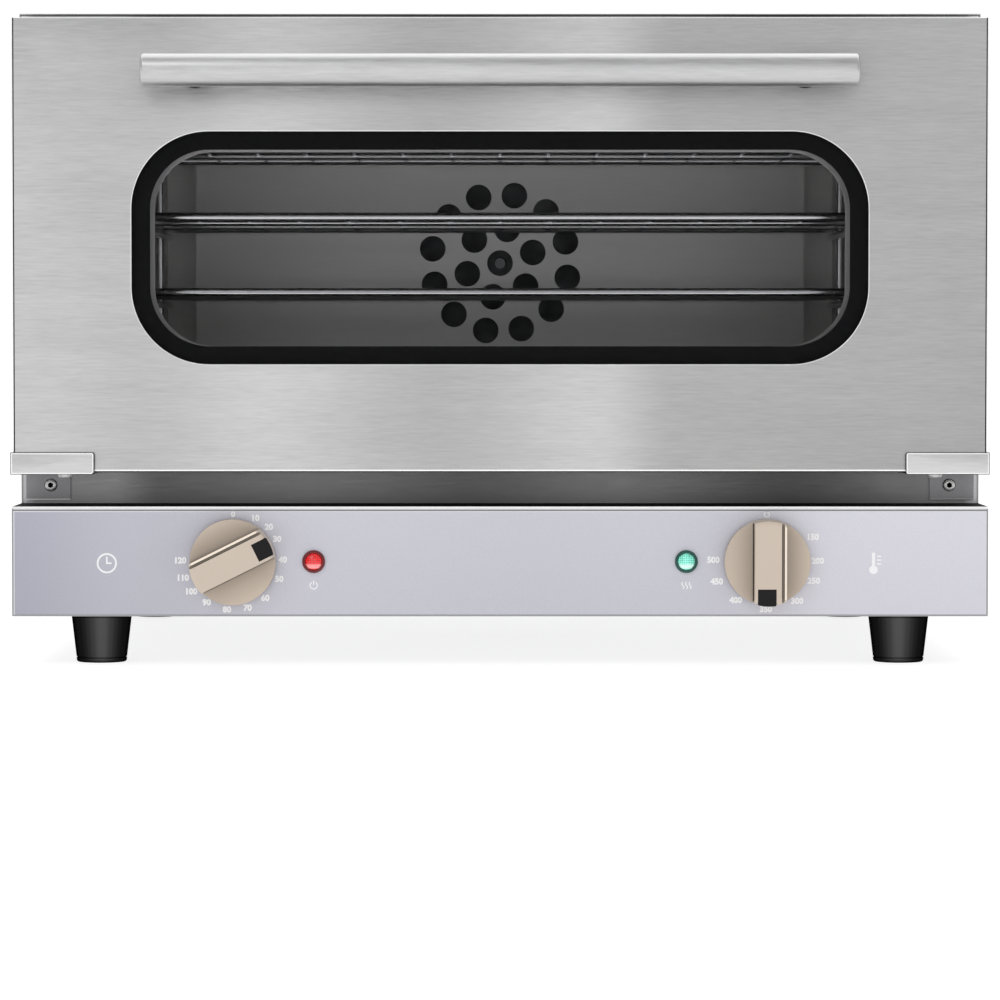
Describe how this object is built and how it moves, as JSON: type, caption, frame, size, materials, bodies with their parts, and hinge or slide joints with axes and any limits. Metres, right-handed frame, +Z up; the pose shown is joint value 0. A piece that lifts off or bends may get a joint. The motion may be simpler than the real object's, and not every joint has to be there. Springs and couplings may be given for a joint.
{
  "type": "countertop convection oven",
  "caption": "Countertop convection oven: drop-down glass door with bar handle, control strip with timer and temperature knobs and pilot lamps, wire racks and a rear fan.",
  "frame": {"origin": "centre of the oven's footprint box, on the bench top that the feet stand on", "axes": "+X to the right of someone facing the door, +Y from the door to the back panel, +Z up"},
  "size_m": [0.596, 0.5964, 0.4],
  "materials": {
    "casing_steel": "satin",
    "frame_steel": "satin",
    "door_steel": "satin",
    "liner_steel": "satin",
    "fascia_print": "satin",
    "hinge_steel": "satin",
    "wire_chrome": "polished",
    "knob_champagne": "satin",
    "black_plastic": "matte",
    "foot_rubber": "matte",
    "gasket_rubber": "matte",
    "red_lens": "gloss",
    "green_lens": "gloss",
    "door_glass": "gloss",
    "heater_sheath": "matte",
    "cast_alloy": "matte",
    "insulation_wool": "matte",
    "terminal_ceramic": "satin"
  },
  "bodies": {
    "cabinet": {"side_panel_left": "casing_steel", "side_panel_right": "casing_steel", "top_cover": "casing_steel", "back_panel": "casing_steel", "control_panel": "casing_steel", "front_frame": "frame_steel", "base_pan": "frame_steel", "cavity_liner": "liner_steel", "fan_baffle": "liner_steel", "fascia_overlay": "fascia_print", "hinge_arm_left": "hinge_steel", "hinge_arm_right": "hinge_steel", "hinge_pin_left": "hinge_steel", "hinge_pin_right": "hinge_steel", "rack_guide_left": "wire_chrome", "rack_guide_right": "wire_chrome", "hinge_screw_left": "wire_chrome", "hinge_screw_right": "wire_chrome", "hinge_spring_left": "wire_chrome", "hinge_spring_right": "wire_chrome", "thermostat_bulb": "wire_chrome", "power_lamp_body": "black_plastic", "heating_lamp_body": "black_plastic", "cord_gland": "black_plastic", "foot_front_left": "foot_rubber", "foot_front_right": "foot_rubber", "foot_rear_left": "foot_rubber", "foot_rear_right": "foot_rubber", "door_gasket": "gasket_rubber", "power_lens": "red_lens", "heating_lens": "green_lens", "heating_element": "heater_sheath", "fan_motor": "cast_alloy", "timer_body": "cast_alloy", "thermostat_body": "cast_alloy", "insulation_wrap": "insulation_wool", "terminal_block": "terminal_ceramic"},
    "fan": {"motor_shaft": "hinge_steel", "fan_impeller": "cast_alloy"},
    "door": {"door_skin": "door_steel", "door_inner_panel": "liner_steel", "door_outer_glass": "door_glass", "door_inner_glass": "door_glass", "glass_spacer": "black_plastic", "handle_bar": "door_steel", "handle_post_left": "black_plastic", "handle_post_right": "black_plastic", "hinge_bracket_left": "hinge_steel", "hinge_bracket_right": "hinge_steel", "bracket_screw_left": "wire_chrome", "bracket_screw_right": "wire_chrome"},
    "timer_dial": {"timer_knob": "knob_champagne", "timer_pointer": "black_plastic", "timer_shaft": "hinge_steel"},
    "temp_dial": {"temp_knob": "knob_champagne", "temp_pointer": "black_plastic", "temp_shaft": "hinge_steel"},
    "rack_lower": {"wire_rack_lower": "wire_chrome"},
    "rack_middle": {"wire_rack_middle": "wire_chrome"},
    "rack_upper": {"wire_rack_upper": "wire_chrome"}
  },
  "joints": [
    {"name": "door_hinge", "type": "hinge", "parent": "cabinet", "child": "door", "pos_m": [0, -0.23815, 0.1235], "axis": [1, 0, 0], "range_deg": [0, 90], "stiffness_Nm_per_rad": 2.5, "springref_deg": -20.05},
    {"name": "timer_turn", "type": "hinge", "parent": "cabinet", "child": "timer_dial", "pos_m": [-0.1625, -0.26215, 0.0635], "axis": [0, 1, 0], "range_deg": [-63.5, 206.5]},
    {"name": "temp_turn", "type": "hinge", "parent": "cabinet", "child": "temp_dial", "pos_m": [0.1625, -0.26215, 0.0635], "axis": [0, 1, 0], "range_deg": [-180, 90]},
    {"name": "fan_spin", "type": "hinge", "parent": "cabinet", "child": "fan", "pos_m": [0, 0.18185, 0.251], "axis": [0, 1, 0], "continuous": true},
    {"name": "rack_lower_slide", "type": "slide", "parent": "cabinet", "child": "rack_lower", "axis": [0, -1, 0], "range_m": [0, 0.19]},
    {"name": "rack_middle_slide", "type": "slide", "parent": "cabinet", "child": "rack_middle", "axis": [0, -1, 0], "range_m": [0, 0.19]},
    {"name": "rack_upper_slide", "type": "slide", "parent": "cabinet", "child": "rack_upper", "axis": [0, -1, 0], "range_m": [0, 0.19]}
  ],
  "couplings": [
    {"joint": "rack_lower_slide", "follows": "door_hinge", "m_per_rad": 0.1209},
    {"joint": "rack_middle_slide", "follows": "door_hinge", "m_per_rad": 0.1209},
    {"joint": "rack_upper_slide", "follows": "door_hinge", "m_per_rad": 0.1209}
  ]
}
